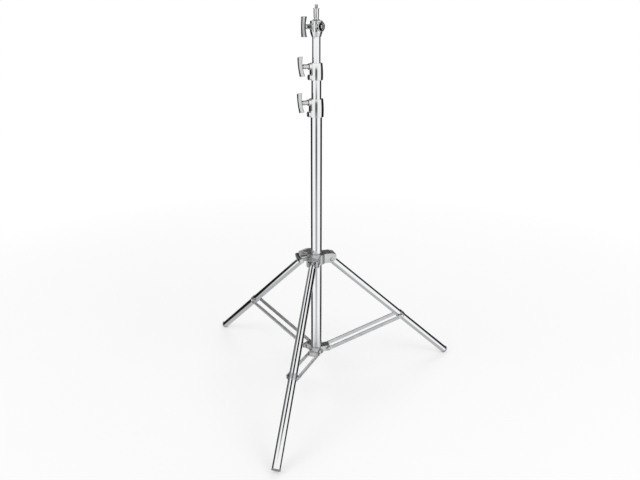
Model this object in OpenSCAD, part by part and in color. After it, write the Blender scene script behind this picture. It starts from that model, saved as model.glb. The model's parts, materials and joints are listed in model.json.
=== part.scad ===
// Telescopic lighting stand: a three-section column with screw clamps and a stud head, carried by
// a sliding leg collar with three tubular legs, which three pairs of brace bars tie to a lower hub.
// Millimetres, +Z up. The origin is on the floor under the column's axis; the front leg is at -Y.

/* [Column] */
// Outside diameter of the base tube
base_od = 35; // [30:0.5:44]
// Wall of the three column tubes
tube_wall = 1.2; // [1:0.1:1.6]
// Gap between a tube and the tube that slides in it
tube_gap = 1.3; // [1.1:0.1:1.8]
// Length of the base tube
base_tube_length = 815; // [680:1:980]
// Length of the lower riser tube
lower_riser_length = 845; // [700:1:900]
// Length of the upper riser tube
upper_riser_length = 850; // [700:1:900]
// Length of lower riser that shows between the two collars
lower_riser_exposed = 55; // [48:1:400]
// Length of upper riser that shows under the head
upper_riser_exposed = 74; // [60:1:400]
// Depth of the nylon glide inside a riser's lower end
glide_depth = 18; // [12:1:30]
// Length of the glide's guiding head below the riser
glide_head = 10; // [6:1:16]

/* [Collars] */
// Height of the lower collar
lower_collar_height = 54; // [50:1:70]
// Height of the upper collar
upper_collar_height = 50; // [50:1:66]
// Metal outside a collar's tube socket at its fullest
collar_wall = 5.8; // [2.6:0.1:6]
// How much narrower a collar is at its top than at its fullest
collar_taper = 2; // [1:0.1:2.5]
// Length of tube held in a collar's socket
collar_grip = 31; // [26:1:34]
// Wall of a collar's nylon liner
liner_wall = 1.1; // [0.8:0.1:1.6]
// Diameter of the boss that carries a clamp screw
clamp_boss_d = 19; // [16:0.1:23]
// Diameter of the boss around a fixing screw
fixing_boss_d = 17; // [13:0.5:18]
// How far the bosses stand out from the tube socket
boss_reach = 11; // [8:0.5:16]
// Direction of the collar bosses from the front leg
collar_azimuth = -48; // [-180:1:180]

/* [Clamp handles] */
// Length of a handle's cross bar
grip_length = 57; // [44:1:70]
// Depth of the cross bar along the screw
grip_depth = 16; // [12:0.5:20]
// Thickness of the cross bar
grip_thickness = 15; // [10:0.5:16]
// Diameter of the handle's neck
neck_d = 14; // [11:0.5:15]
// Length of neck between a boss and the cross bar
neck_length = 16.5; // [12:0.5:24]
// Diameter of a clamp screw
clamp_screw_d = 8; // [6:0.5:8]
// Lean of the collar handles' cross bars
collar_grip_turn = 15; // [-90:5:90]
// Lean of the leg collar handle's cross bar
spider_grip_turn = 90; // [-90:5:90]
// Diameter of a brass clamp shoe
shoe_d = 12; // [9:0.5:13]
// Thickness of a brass clamp shoe
shoe_thickness = 2.6; // [2:0.1:3.5]

/* [Head] */
// Height of the head casting
head_height = 46; // [42:1:60]
// Metal outside the riser tube at the head's fullest
head_wall = 6.5; // [5:0.5:10]
// Depth of riser tube held in the head
head_grip = 14; // [10:1:16]
// Across flats of the level hexagonal socket
socket_flats = 17; // [14:0.5:18]
// Diameter of the boss around the level socket
socket_boss_d = 28; // [26:0.5:32]
// How far the level socket's face stands out from the head
socket_boss_reach = 3; // [3:0.5:12]
// How far the head's clamp boss stands out from the head
head_boss_reach = 6; // [4:0.5:12]
// Direction of the head's clamp handle from the front leg
head_azimuth = -32; // [-180:1:180]

/* [Spigot] */
// Diameter of the stud
stud_d = 16; // [12:0.1:20]
// Height of the plain stud above its shoulder
stud_height = 32; // [24:1:60]
// Diameter of the shoulder
shoulder_d = 24; // [20:0.5:30]
// Diameter of the threaded tip
thread_d = 9.5; // [6:0.5:10]
// Height of the threaded tip
thread_height = 11; // [8:1:16]

/* [Leg collar] */
// Distance of the leg pivots from the base tube's surface
leg_pivot_gap = 28.5; // [27:0.5:45]
// Wall of the leg collar's ring, with its liner
spider_wall = 11.5; // [9:0.5:14]
// Thickness of a yoke's cheeks
cheek = 4.5; // [3:0.1:6]
// Thickness of a yoke's top
yoke_top = 6; // [4:0.5:8]
// How far a yoke reaches past its pivot
yoke_reach = 15.5; // [13:0.5:20]
// How far the clamp boss stands out from the leg collar's ring
spider_boss_reach = 3; // [2:0.5:8]
// Direction of the leg collar's clamp handle from the front leg
spider_azimuth = -60; // [-62:1:-58]

/* [Legs] */
// Outside diameter of a leg tube
leg_od = 24; // [20:0.5:29]
// Wall of a leg tube
leg_wall = 1.2; // [1:0.1:2]
// Length of a leg from its pivot to the foot's face
leg_length = 592; // [480:1:740]
// Slope of the spread legs below level
leg_slope = 43; // [38:0.5:52]
// Distance along the leg from its pivot to the brace pivot
brace_position = 348; // [320:1:380]
// Length of the band that joins the braces to a leg
bracket_length = 17; // [14:0.5:26]
// Thickness of that band
bracket_wall = 1.5; // [1.2:0.1:1.8]
// Thickness of the rubber foot's face
foot_thickness = 3.5; // [2.5:0.5:8]
// Length of the foot's plug in the leg
foot_plug = 20; // [12:1:40]

/* [Braces and lower hub] */
// Height of the lower hub's pivots above the floor with the legs spread
hub_pivot_z = 96.6; // [70:0.1:160]
// Height of a brace bar's section
brace_height = 12; // [10:0.5:16]
// Thickness of a brace bar's section
brace_thickness = 3.5; // [2.5:0.1:5]
// Depth of the groove rolled in a bar's outer face
groove_depth = 1.1; // [0.6:0.1:1.4]
// Distance of the brace pivots on the lower hub from the base tube's surface
hub_pivot_gap = 20.5; // [18:0.5:28]
// Wall of the lower hub's ring
hub_wall = 5.5; // [4:0.5:9]
// Radius of the eye around a brace pivot
hub_eye_r = 9.5; // [8:0.5:11]
// Height of the brace pivots above the base tube's lower end
hub_rise = 11; // [9:0.5:14]
// Diameter of the pivot bolts
bolt_d = 6; // [5:0.5:7]

/* [Fits] */
// Radial gap of a sliding or turning fit
running_fit = 0.08; // [0.04:0.01:0.1]
// Radial gap of pieces that are fixed together
fixed_fit = 0.05; // [0.03:0.01:0.1]
// Gap between moving faces
face_gap = 0.3; // [0.2:0.05:0.5]

/* [Hidden] */
$fn = 96;
// Segments of very flat arcs
arc_fn = 720;
// Overlap of joined shapes
weld = 1;

LEG_NAMES = ["front", "right", "left"];
LEG_AZIMUTHS = [0, 120, 240];

lower_riser_od = base_od - 2 * tube_wall - 2 * tube_gap;
upper_riser_od = lower_riser_od - 2 * tube_wall - 2 * tube_gap;

// Legs, braces and the heights that follow from them
foot_flange_r = leg_od / 2 + 1;
foot_flat = 0.8;
foot_face_z = foot_flange_r * cos(leg_slope) - foot_flat;
leg_pivot_z = foot_face_z + leg_length * sin(leg_slope);
leg_pivot_r = base_od / 2 + leg_pivot_gap;
bracket_r = leg_pivot_r + brace_position * cos(leg_slope);
bracket_z = leg_pivot_z - brace_position * sin(leg_slope);
hub_pivot_r = base_od / 2 + hub_pivot_gap;
brace_span = bracket_r - hub_pivot_r;
brace_rise = bracket_z - hub_pivot_z;
brace_slope = atan2(brace_rise, brace_span);
// Length of a brace bar between its pivots
brace_length = sqrt(pow(brace_span, 2) + pow(brace_rise, 2));
leg_head = 8;
leg_head_r = sqrt(pow(leg_head, 2) + pow(leg_od / 2, 2));

// Column heights
base_bottom = hub_pivot_z - hub_rise;
base_top = base_bottom + base_tube_length;
lower_collar_bottom = base_top - collar_grip;
lower_collar_top = lower_collar_bottom + lower_collar_height;
upper_collar_bottom = lower_collar_top + lower_riser_exposed;
upper_collar_top = upper_collar_bottom + upper_collar_height;
lower_riser_top = upper_collar_bottom + collar_grip;
lower_riser_bottom = lower_riser_top - lower_riser_length;
head_bottom = upper_collar_top + upper_riser_exposed;
head_top = head_bottom + head_height;
upper_riser_top = head_bottom + head_grip;
upper_riser_bottom = upper_riser_top - upper_riser_length;

// Head
head_od = upper_riser_od + 2 * head_wall;
head_skirt = 14;
head_skirt_wall = 1.6;
head_floor = 3;
head_chamfer = 2;
head_boss_face = head_od / 2 + head_boss_reach;
head_clamp_z = head_top - 17;
socket_reach = head_od / 2 + socket_boss_reach;
head_pin_r = 2;

// Collars and clamps
clamp_drop = clamp_boss_d / 2 + 0.5;
fixing_rise = fixing_boss_d / 2 + 0.5;
fixing_screw_d = 6;
fixing_head_d = 10;
fixing_head_h = 6;
fixing_socket = 5;
socket_depth = 3;

// Leg collar
yoke_half = leg_od / 2 + 2;
yoke_width = 2 * (yoke_half + cheek);
yoke_end = leg_pivot_r + yoke_reach;
cavity_clear = 0.8;
cavity_top = leg_pivot_z + leg_head_r + cavity_clear;
cavity_start = leg_pivot_r - leg_head_r - cavity_clear;
spider_top = cavity_top + yoke_top;
cheek_r = 10;
spider_bottom = leg_pivot_z - cheek_r;
spider_clamp_z = spider_top - clamp_boss_d / 2 - 1.5;
spider_liner_h = (spider_clamp_z - shoe_d / 2 - spider_bottom) / 2 - face_gap;
spider_boss_face = base_od / 2 + spider_wall + spider_boss_reach;
spider_ring_d = base_od + 2 * spider_wall;
washer_r = 8;

// Braces and lower hub
brace_inner = leg_od / 2 + bracket_wall + 0.7;
brace_outer = brace_inner + brace_thickness;
hub_arm_half = brace_inner - face_gap;
hub_ring_d = base_od + 2 * hub_wall;
hub_floor = 2;
hub_bottom = base_bottom - hub_floor;
hub_top = hub_pivot_z;
rivet_head_r = 5;
rivet_head_h = 1.8;
bolt_head_r = 5;
bolt_head_h = 3.2;
nut_r = 5.6;
nut_h = 4;

// Placing: +X of the children points outwards at an azimuth counted from the front leg
module radial(azimuth) {
    rotate([0, 0, azimuth - 90]) children();
}

module rod_x(length, r, start = 0) {
    translate([start, 0, 0]) rotate([0, 90, 0]) cylinder(h = length, r = r);
}

module rod_y(length, r, start = 0) {
    translate([0, start, 0]) rotate([-90, 0, 0]) cylinder(h = length, r = r);
}

module hex_x(length, flats, start = 0) {
    translate([start, 0, 0]) rotate([0, 90, 0]) cylinder(h = length, r = flats / 2 / cos(30), $fn = 6);
}

module hex_y(length, flats, start = 0) {
    translate([0, start, 0]) rotate([-90, 0, 0]) cylinder(h = length, r = flats / 2 / cos(30), $fn = 6);
}

module tube(od, wall, length) {
    difference() {
        cylinder(h = length, d = od);
        translate([0, 0, -weld]) cylinder(h = length + 2 * weld, r = od / 2 - wall);
    }
}

// A leg's own frame: +X runs down the leg from its pivot
module on_leg(i) {
    radial(LEG_AZIMUTHS[i]) translate([leg_pivot_r, 0, leg_pivot_z])
        rotate([0, leg_slope, 0]) children();
}

// A brace's own frame: +X runs up the brace from its pivot on the lower hub
module on_brace(i) {
    radial(LEG_AZIMUTHS[i]) translate([hub_pivot_r, 0, hub_pivot_z])
        rotate([0, -brace_slope, 0]) children();
}

// Column tubes

module base_tube() {
    color("gainsboro") difference() {
        translate([0, 0, base_bottom]) tube(base_od, tube_wall, base_tube_length);
        radial(collar_azimuth) translate([0, 0, lower_collar_bottom + fixing_rise])
            rod_x(base_od, fixing_screw_d / 2 + fixed_fit);
        radial(spider_azimuth) translate([0, 0, hub_pivot_z - hub_rise / 2])
            rod_x(base_od, fixing_screw_d / 2 + fixed_fit);
    }
}

module base_plug() {
    flange_h = 1.5;
    flange_r = base_od / 2 + 1.8;
    plug_depth = 12;
    color("dimgray") translate([0, 0, hub_bottom - flange_h]) {
        cylinder(h = flange_h, r = flange_r);
        cylinder(h = flange_h + hub_floor + plug_depth, r = base_od / 2 - tube_wall - fixed_fit);
    }
}

module riser_glide(outer_r, inner_r, bottom) {
    glide_wall = 3;
    head_start = bottom - face_gap - glide_head;
    color("ivory") difference() {
        union() {
            translate([0, 0, head_start]) cylinder(h = glide_head, r = outer_r);
            translate([0, 0, head_start]) cylinder(h = glide_head + glide_depth, r = inner_r);
        }
        translate([0, 0, head_start - weld])
            cylinder(h = glide_head + glide_depth + 2 * weld, r = inner_r - glide_wall);
    }
}

module lower_riser_glide() {
    riser_glide(base_od / 2 - tube_wall - running_fit, lower_riser_od / 2 - tube_wall - running_fit,
        lower_riser_bottom);
}

module upper_riser_glide() {
    riser_glide(lower_riser_od / 2 - tube_wall - running_fit, upper_riser_od / 2 - tube_wall - running_fit,
        upper_riser_bottom);
}

module lower_riser() {
    color("gainsboro") difference() {
        translate([0, 0, lower_riser_bottom]) tube(lower_riser_od, tube_wall, lower_riser_length);
        radial(collar_azimuth) translate([0, 0, upper_collar_bottom + fixing_rise])
            rod_x(base_od, fixing_screw_d / 2 + fixed_fit);
    }
}

module upper_riser() {
    color("gainsboro") difference() {
        translate([0, 0, upper_riser_bottom]) tube(upper_riser_od, tube_wall, upper_riser_length);
        radial(head_azimuth) translate([0, 0, head_bottom + head_grip / 2])
            rod_y(base_od, head_pin_r + fixed_fit, -base_od / 2);
    }
}

// Collars: a barrel-shaped casting, socketed on the lower tube and lined for the upper one

function clamp_face_r(socket_od) = socket_od / 2 + boss_reach;

module collar_outline(height, socket_od) {
    full_r = socket_od / 2 + collar_wall;
    full_at = 0.35 * height;
    arc_r = (pow(height - full_at, 2) + pow(collar_taper, 2)) / (2 * collar_taper);
    intersection() {
        square([full_r, height]);
        translate([full_r - arc_r, full_at]) circle(r = arc_r, $fn = arc_fn);
    }
}

module collar(bottom, height, socket_od, riser_od) {
    liner_r = riser_od / 2 + running_fit + liner_wall + fixed_fit;
    face_r = clamp_face_r(socket_od);
    color("whitesmoke") difference() {
        union() {
            translate([0, 0, bottom]) rotate_extrude() collar_outline(height, socket_od);
            radial(collar_azimuth) {
                translate([0, 0, bottom + height - clamp_drop]) rod_x(face_r, clamp_boss_d / 2);
                translate([0, 0, bottom + fixing_rise]) rod_x(face_r, fixing_boss_d / 2);
            }
        }
        translate([0, 0, bottom - weld])
            cylinder(h = collar_grip + weld + fixed_fit, r = socket_od / 2 + fixed_fit);
        translate([0, 0, bottom]) cylinder(h = height + weld, r = liner_r);
        radial(collar_azimuth) {
            translate([0, 0, bottom + height - clamp_drop]) {
                rod_x(face_r + weld, clamp_screw_d / 2 + running_fit);
                rod_x(riser_od / 2 + face_gap + shoe_thickness + face_gap, shoe_d / 2 + fixed_fit);
            }
            translate([0, 0, bottom + fixing_rise]) {
                rod_x(face_r + weld, fixing_screw_d / 2 + fixed_fit);
                rod_x(face_r, fixing_head_d / 2 + fixed_fit, face_r - fixing_head_h);
            }
        }
    }
}

module liner(collar_bottom, height, riser_od) {
    inner_r = riser_od / 2 + running_fit;
    seat = collar_bottom + collar_grip + 0.5;
    color("ivory") difference() {
        translate([0, 0, seat]) cylinder(h = collar_bottom + height - 0.5 - seat, r = inner_r + liner_wall);
        translate([0, 0, collar_bottom]) cylinder(h = height + weld, r = inner_r);
        radial(collar_azimuth) translate([0, 0, collar_bottom + height - clamp_drop])
            rod_x(base_od, shoe_d / 2 + fixed_fit);
    }
}

module shoe(tube_r, z, azimuth) {
    color("goldenrod") radial(azimuth) translate([0, 0, z]) difference() {
        rod_x(tube_r + face_gap + shoe_thickness, shoe_d / 2);
        translate([0, 0, -shoe_d]) cylinder(h = 2 * shoe_d, r = tube_r + face_gap);
    }
}

module fixing_screw(face_r, tip_r, z, azimuth) {
    head_start = face_r - fixing_head_h + fixed_fit;
    color("dimgray") radial(azimuth) translate([0, 0, z]) difference() {
        union() {
            rod_x(head_start - tip_r + weld, fixing_screw_d / 2, tip_r);
            rod_x(fixing_head_h - 0.6, fixing_head_d / 2, head_start);
        }
        hex_x(fixing_head_h, fixing_socket, head_start + fixing_head_h - 0.6 - socket_depth);
    }
}

module lower_collar() {
    collar(lower_collar_bottom, lower_collar_height, base_od, lower_riser_od);
}

module upper_collar() {
    collar(upper_collar_bottom, upper_collar_height, lower_riser_od, upper_riser_od);
}

module lower_liner() {
    liner(lower_collar_bottom, lower_collar_height, lower_riser_od);
}

module upper_liner() {
    liner(upper_collar_bottom, upper_collar_height, upper_riser_od);
}

module lower_shoe() {
    shoe(lower_riser_od / 2, lower_collar_top - clamp_drop, collar_azimuth);
}

module upper_shoe() {
    shoe(upper_riser_od / 2, upper_collar_top - clamp_drop, collar_azimuth);
}

module lower_fixing_screw() {
    fixing_screw(clamp_face_r(base_od), base_od / 2 - tube_wall, lower_collar_bottom + fixing_rise,
        collar_azimuth);
}

module upper_fixing_screw() {
    fixing_screw(clamp_face_r(lower_riser_od), lower_riser_od / 2 - tube_wall,
        upper_collar_bottom + fixing_rise, collar_azimuth);
}

// Clamp handles: a waisted cross bar on a flared neck, fixed on a screw

module grip_outline() {
    bow_r = 200;
    hollow = 4.5;
    half_chord = grip_length / 2 - 4;
    hollow_r = (pow(half_chord, 2) + pow(hollow, 2)) / (2 * hollow);
    difference() {
        intersection() {
            square([grip_depth, grip_length], center = true);
            translate([grip_depth / 2 - bow_r, 0]) circle(r = bow_r, $fn = arc_fn);
        }
        translate([hollow - grip_depth / 2 - hollow_r, 0]) circle(r = hollow_r, $fn = arc_fn);
    }
}

module clamp_handle(azimuth, z, boss_face, turn) {
    neck_start = boss_face + face_gap;
    grip_centre = neck_start + neck_length + grip_depth / 2;
    flare = 9;
    color("silver") radial(azimuth) translate([0, 0, z]) rotate([turn, 0, 0]) difference() {
        union() {
            translate([grip_centre, grip_thickness / 2, 0]) rotate([90, 0, 0])
                linear_extrude(grip_thickness) grip_outline();
            rod_x(neck_length + grip_depth / 2, neck_d / 2, neck_start);
            translate([neck_start + neck_length - flare / 2, 0, 0]) rotate([0, 90, 0])
                cylinder(h = flare, r1 = neck_d / 2, r2 = grip_thickness / 2);
        }
        rod_x(neck_length + grip_depth / 2, clamp_screw_d / 2 + fixed_fit, neck_start - weld);
    }
}

module clamp_screw(azimuth, z, boss_face, tip_r) {
    neck_start = boss_face + face_gap;
    screw_end = neck_start + neck_length + grip_depth / 2 - weld - fixed_fit;
    color("dimgray") radial(azimuth) translate([0, 0, z])
        rod_x(screw_end - tip_r, clamp_screw_d / 2, tip_r);
}

module collar_handle(socket_od, z) {
    clamp_handle(collar_azimuth, z, clamp_face_r(socket_od), collar_grip_turn);
}

module lower_handle() {
    collar_handle(base_od, lower_collar_top - clamp_drop);
}

module upper_handle() {
    collar_handle(lower_riser_od, upper_collar_top - clamp_drop);
}

module lower_clamp_screw() {
    clamp_screw(collar_azimuth, lower_collar_top - clamp_drop, clamp_face_r(base_od),
        lower_riser_od / 2 + shoe_thickness + 2 * face_gap);
}

module upper_clamp_screw() {
    clamp_screw(collar_azimuth, upper_collar_top - clamp_drop, clamp_face_r(lower_riser_od),
        upper_riser_od / 2 + shoe_thickness + 2 * face_gap);
}

// Head: socketed on the upper riser, with an upright bore and a level hexagonal socket

module head() {
    skirt_r = upper_riser_od / 2 + head_skirt_wall;
    socket_azimuth = head_azimuth + 90;
    color("whitesmoke") difference() {
        union() {
            translate([0, 0, head_bottom]) cylinder(h = head_skirt, r1 = skirt_r, r2 = head_od / 2);
            translate([0, 0, head_bottom + head_skirt])
                cylinder(h = head_height - head_skirt - head_chamfer, d = head_od);
            translate([0, 0, head_top - head_chamfer])
                cylinder(h = head_chamfer, r1 = head_od / 2, r2 = head_od / 2 - head_chamfer);
            translate([0, 0, head_clamp_z]) {
                radial(head_azimuth) rod_x(head_boss_face, clamp_boss_d / 2 - 1);
                radial(socket_azimuth) rod_x(socket_reach, socket_boss_d / 2);
            }
        }
        translate([0, 0, head_bottom - weld])
            cylinder(h = head_grip + weld + fixed_fit, r = upper_riser_od / 2 + fixed_fit);
        translate([0, 0, upper_riser_top + head_floor])
            cylinder(h = head_height, r = stud_d / 2 + running_fit);
        translate([0, 0, head_clamp_z]) {
            radial(head_azimuth) rod_x(head_od, clamp_screw_d / 2 + running_fit);
            radial(socket_azimuth) hex_x(socket_reach, socket_flats, weld);
        }
        radial(head_azimuth) translate([0, 0, head_bottom + head_grip / 2])
            rod_y(2 * head_od, head_pin_r + fixed_fit, -head_od);
    }
}

module head_pin() {
    pin_reach = upper_riser_od / 2 + 0.6;
    color("dimgray") radial(head_azimuth) translate([0, 0, head_bottom + head_grip / 2])
        rod_y(2 * pin_reach, head_pin_r, -pin_reach);
}

module head_handle() {
    clamp_handle(head_azimuth, head_clamp_z, head_boss_face, 0);
}

module head_clamp_screw() {
    clamp_screw(head_azimuth, head_clamp_z, head_boss_face, stud_d / 2 + face_gap);
}

module spigot() {
    foot = upper_riser_top + head_floor + face_gap;
    seat = head_top + fixed_fit;
    shoulder_h = 2;
    flare_h = 4;
    neck_h = 2;
    neck_r = stud_d / 2 - 1;
    body_start = shoulder_h + flare_h + neck_h;
    collar_h = 2;
    collar_lip = 1.5;
    color("gainsboro") {
        translate([0, 0, foot]) cylinder(h = seat - foot + weld, d = stud_d);
        translate([0, 0, seat]) {
            cylinder(h = shoulder_h, d = shoulder_d);
            translate([0, 0, shoulder_h]) cylinder(h = flare_h, r1 = shoulder_d / 2 - 1, r2 = neck_r);
            translate([0, 0, shoulder_h + flare_h]) cylinder(h = neck_h + weld, r = neck_r);
            translate([0, 0, body_start]) cylinder(h = stud_height - body_start, d = stud_d);
            translate([0, 0, stud_height]) cylinder(h = collar_h, d = stud_d + 2 * collar_lip);
            translate([0, 0, stud_height + collar_h]) cylinder(h = thread_height, d = thread_d);
        }
    }
}

// Leg collar: a sliding ring with a yoke for each leg

module yoke_outline() {
    chamfer_x = 17;
    chamfer_z = 5;
    polygon([
        [base_od / 2 + 2, spider_bottom],
        [leg_pivot_r, spider_bottom],
        [yoke_end, leg_pivot_z],
        [yoke_end, spider_top - chamfer_z],
        [yoke_end - chamfer_x, spider_top],
        [base_od / 2 + 2, spider_top]
    ]);
    translate([leg_pivot_r, leg_pivot_z]) circle(r = cheek_r);
}

module spider() {
    bore_r = base_od / 2 + running_fit + liner_wall + fixed_fit;
    color("lightgray") difference() {
        union() {
            translate([0, 0, spider_bottom]) cylinder(h = spider_top - spider_bottom, d = spider_ring_d);
            for (azimuth = LEG_AZIMUTHS)
                radial(azimuth) translate([0, yoke_width / 2, 0]) rotate([90, 0, 0])
                    linear_extrude(yoke_width) yoke_outline();
            radial(spider_azimuth) translate([0, 0, spider_clamp_z])
                rod_x(spider_boss_face, clamp_boss_d / 2);
        }
        translate([0, 0, spider_bottom - weld])
            cylinder(h = spider_top - spider_bottom + 2 * weld, r = bore_r);
        for (azimuth = LEG_AZIMUTHS)
            radial(azimuth) {
                translate([cavity_start, -yoke_half, 0]) cube([yoke_end, 2 * yoke_half, cavity_top]);
                translate([leg_pivot_r, 0, leg_pivot_z])
                    rod_y(2 * yoke_width, bolt_d / 2 + fixed_fit, -yoke_width);
            }
        radial(spider_azimuth) translate([0, 0, spider_clamp_z]) {
            rod_x(spider_boss_face + weld, clamp_screw_d / 2 + running_fit);
            rod_x(base_od / 2 + shoe_thickness + 2 * face_gap, shoe_d / 2 + fixed_fit);
        }
    }
}

module spider_liners() {
    inner_r = base_od / 2 + running_fit;
    color("ivory") for (z = [spider_bottom, spider_bottom + spider_liner_h + face_gap])
        translate([0, 0, z]) difference() {
            cylinder(h = spider_liner_h, r = inner_r + liner_wall);
            translate([0, 0, -weld]) cylinder(h = spider_liner_h + 2 * weld, r = inner_r);
        }
}

module spider_shoe() {
    shoe(base_od / 2, spider_clamp_z, spider_azimuth);
}

module spider_handle() {
    clamp_handle(spider_azimuth, spider_clamp_z, spider_boss_face, spider_grip_turn);
}

module spider_clamp_screw() {
    clamp_screw(spider_azimuth, spider_clamp_z, spider_boss_face,
        base_od / 2 + shoe_thickness + 2 * face_gap);
}

// Pivot bolts and nuts, along Y in the frame of the pivot

module pivot_bolt(half_width) {
    difference() {
        union() {
            rod_y(2 * half_width + nut_h + fixed_fit, bolt_d / 2, -half_width - fixed_fit);
            rod_y(bolt_head_h, bolt_head_r, -half_width - fixed_fit - bolt_head_h);
        }
        hex_y(2 * weld + 1, 4, -half_width - fixed_fit - bolt_head_h - weld);
    }
}

module pivot_nut(half_width) {
    difference() {
        hex_y(nut_h, 2 * nut_r * cos(30), half_width + fixed_fit);
        rod_y(nut_h + 2 * weld, bolt_d / 2 + fixed_fit, half_width + fixed_fit - weld);
    }
}

module at_leg_pivot(azimuth) {
    radial(azimuth) translate([leg_pivot_r, 0, leg_pivot_z]) children();
}

module at_hub_pivot(azimuth) {
    radial(azimuth) translate([hub_pivot_r, 0, hub_pivot_z]) children();
}

module leg_bolts() {
    color("silver") for (azimuth = LEG_AZIMUTHS) at_leg_pivot(azimuth) pivot_bolt(yoke_width / 2);
}

module leg_nuts() {
    color("silver") for (azimuth = LEG_AZIMUTHS) at_leg_pivot(azimuth) pivot_nut(yoke_width / 2);
}

module leg_washers() {
    washer_h = yoke_half - leg_od / 2 - face_gap - fixed_fit;
    color("ivory") for (azimuth = LEG_AZIMUTHS, side = [-1, 1]) at_leg_pivot(azimuth) difference() {
        rod_y(washer_h, washer_r, side > 0 ? leg_od / 2 + face_gap : -leg_od / 2 - face_gap - washer_h);
        rod_y(2 * yoke_width, bolt_d / 2 + fixed_fit, -yoke_width);
    }
}

// Legs

module leg_tube(i) {
    color("gainsboro") on_leg(i) difference() {
        rod_x(leg_length - foot_thickness + leg_head, leg_od / 2, -leg_head);
        rod_x(leg_length + 2 * leg_head, leg_od / 2 - leg_wall, -leg_head - weld);
        rod_y(2 * leg_od, bolt_d / 2 + running_fit, -leg_od);
    }
}

module leg_plug(i) {
    plug_length = leg_head + 22;
    color("dimgray") on_leg(i) difference() {
        rod_x(plug_length, leg_od / 2 - leg_wall - fixed_fit, -leg_head);
        rod_y(2 * leg_od, bolt_d / 2 + running_fit, -leg_od);
    }
}

module bracket(i) {
    pad_half = brace_inner - face_gap;
    pad_drop = 9;
    color("silver") on_leg(i) translate([brace_position, 0, 0]) difference() {
        union() {
            rod_x(bracket_length, leg_od / 2 + bracket_wall, -bracket_length / 2);
            translate([-bracket_length / 2, -pad_half, -pad_drop])
                cube([bracket_length, 2 * pad_half, pad_drop + 4]);
        }
        rod_x(bracket_length + 2 * weld, leg_od / 2 + fixed_fit, -bracket_length / 2 - weld);
    }
}

module foot(i) {
    plug_r = leg_od / 2 - leg_wall - fixed_fit;
    color("dimgray") difference() {
        on_leg(i) {
            rod_x(foot_thickness - fixed_fit, foot_flange_r, leg_length - foot_thickness + fixed_fit);
            rod_x(foot_plug + weld, plug_r, leg_length - foot_thickness - foot_plug);
        }
        radial(LEG_AZIMUTHS[i]) translate([0, -leg_od, -2 * leg_od])
            cube([2 * leg_length, 2 * leg_od, 2 * leg_od]);
    }
}

// Braces: a pair of grooved bars that straddle the leg, riveted at the leg's band

module brace_bar(i, side) {
    end_reach = brace_height / 2;
    inner = side > 0 ? brace_inner : -brace_outer;
    groove_start = side > 0 ? brace_outer - groove_depth : -brace_outer - weld;
    groove_inset = 14;
    color("darkgray") on_brace(i) difference() {
        union() {
            rod_y(brace_thickness, end_reach, inner);
            translate([brace_length, 0, 0]) rod_y(brace_thickness, end_reach, inner);
            translate([0, inner, -end_reach]) cube([brace_length, brace_thickness, brace_height]);
        }
        translate([groove_inset, groove_start, -brace_height / 4])
            cube([brace_length - 2 * groove_inset, groove_depth + weld, brace_height / 2]);
        rod_y(4 * brace_outer, bolt_d / 2 + running_fit, -2 * brace_outer);
        translate([brace_length, 0, 0]) rod_y(4 * brace_outer, bolt_d / 2 + fixed_fit, -2 * brace_outer);
    }
}

module brace_rivets(i) {
    color("silver") on_brace(i) translate([brace_length, 0, 0]) for (side = [0, 1]) mirror([0, side, 0]) {
        rod_y(brace_thickness + weld, bolt_d / 2, brace_inner);
        translate([0, brace_outer + fixed_fit, 0]) rotate([-90, 0, 0])
            cylinder(h = rivet_head_h, r1 = rivet_head_r, r2 = rivet_head_r - 1.5);
    }
}

// Lower hub: a ring on the base tube's end with an arm for each brace

module lower_hub() {
    color("lightgray") difference() {
        union() {
            translate([0, 0, hub_bottom]) cylinder(h = hub_top - hub_bottom, d = hub_ring_d);
            for (azimuth = LEG_AZIMUTHS) radial(azimuth) {
                translate([0, -hub_arm_half, hub_pivot_z - hub_eye_r])
                    cube([hub_pivot_r, 2 * hub_arm_half, 2 * hub_eye_r]);
                translate([hub_pivot_r, 0, hub_pivot_z]) rod_y(2 * hub_arm_half, hub_eye_r, -hub_arm_half);
            }
        }
        translate([0, 0, base_bottom - fixed_fit])
            cylinder(h = 4 * hub_eye_r, r = base_od / 2 + fixed_fit);
        translate([0, 0, hub_bottom - weld])
            cylinder(h = hub_floor + 2 * weld, r = base_od / 2 - tube_wall);
        for (azimuth = LEG_AZIMUTHS) at_hub_pivot(azimuth)
            rod_y(4 * hub_arm_half, bolt_d / 2 + fixed_fit, -2 * hub_arm_half);
        radial(spider_azimuth) translate([0, 0, hub_pivot_z - hub_rise / 2])
            rod_x(hub_ring_d, fixing_screw_d / 2 + fixed_fit);
    }
}

module hub_fixing_screw() {
    start = base_od / 2 - tube_wall;
    screw_length = hub_ring_d / 2 - start - 0.5;
    color("dimgray") radial(spider_azimuth) translate([0, 0, hub_pivot_z - hub_rise / 2]) difference() {
        rod_x(screw_length, fixing_screw_d / 2, start);
        hex_x(socket_depth, 3, start + screw_length - socket_depth + weld);
    }
}

module hub_bolts() {
    color("silver") for (azimuth = LEG_AZIMUTHS) at_hub_pivot(azimuth) pivot_bolt(brace_outer + 0.1);
}

module hub_nuts() {
    color("silver") for (azimuth = LEG_AZIMUTHS) at_hub_pivot(azimuth) pivot_nut(brace_outer + 0.1);
}

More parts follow.
